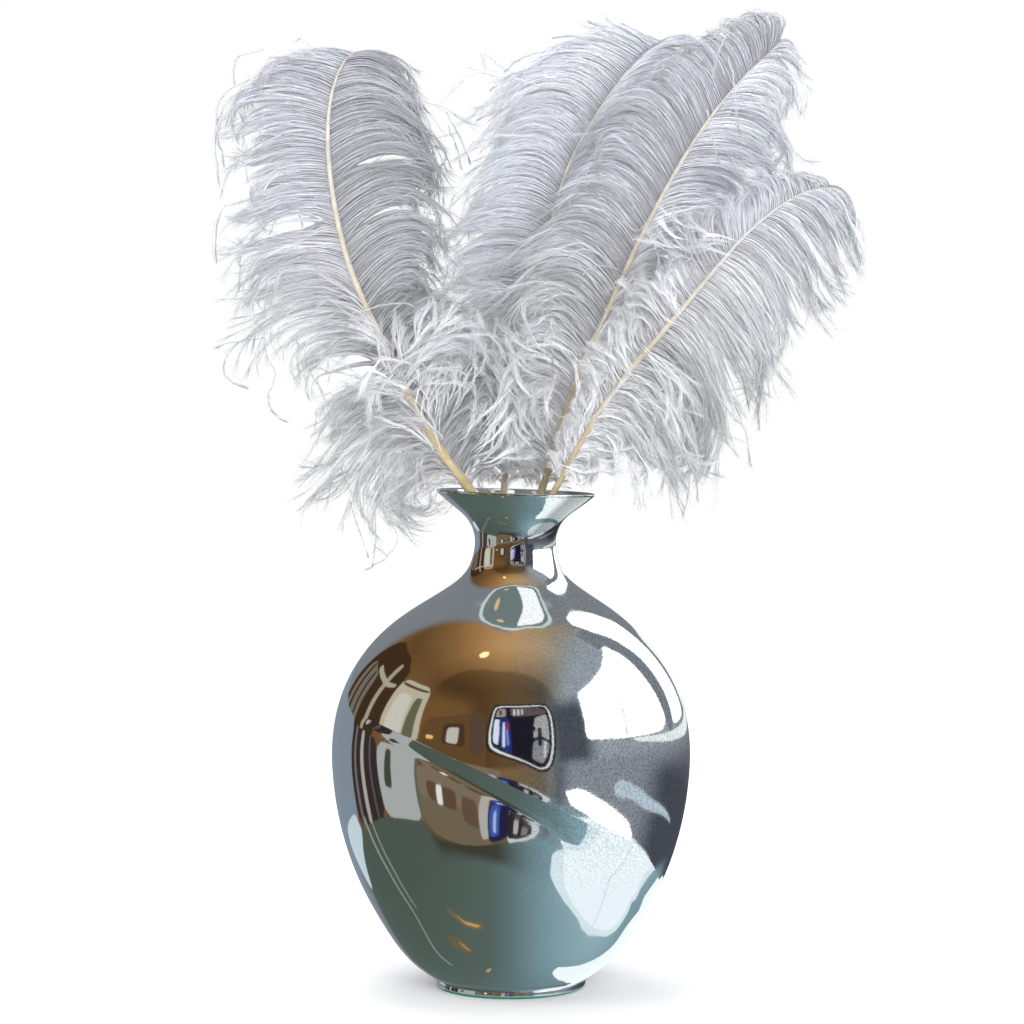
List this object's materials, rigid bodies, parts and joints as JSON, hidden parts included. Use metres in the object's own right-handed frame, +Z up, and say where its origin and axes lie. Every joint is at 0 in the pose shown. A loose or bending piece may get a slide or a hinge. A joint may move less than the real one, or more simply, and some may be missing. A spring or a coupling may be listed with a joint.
{
  "type": "ostrich feather",
  "caption": "White ostrich plumes with drooping barbs, standing in a silvered ovoid glass vase with a narrow neck, flared mouth and a diagonal step.",
  "frame": {"origin": "centre of the vase's round foot, on the surface it stands on", "axes": "+Z up along the vase's axis; -Y is the front, the side with the diagonal step; +X is the side towards which the tallest plume leans"},
  "size_m": [0.3657, 0.2107, 0.5779],
  "materials": {
    "silvered_glass": "mirror-bright silvering, faintly aqua low down, with a fine pebble grain",
    "plume": "soft white barbs with a faint cool cast",
    "quill": "satin cream horn"
  },
  "bodies": {
    "root": {"vase": "silvered_glass", "left_feather": "plume", "back_feather": "plume", "tall_feather": "plume", "right_feather": "plume"}
  },
  "joints": []
}
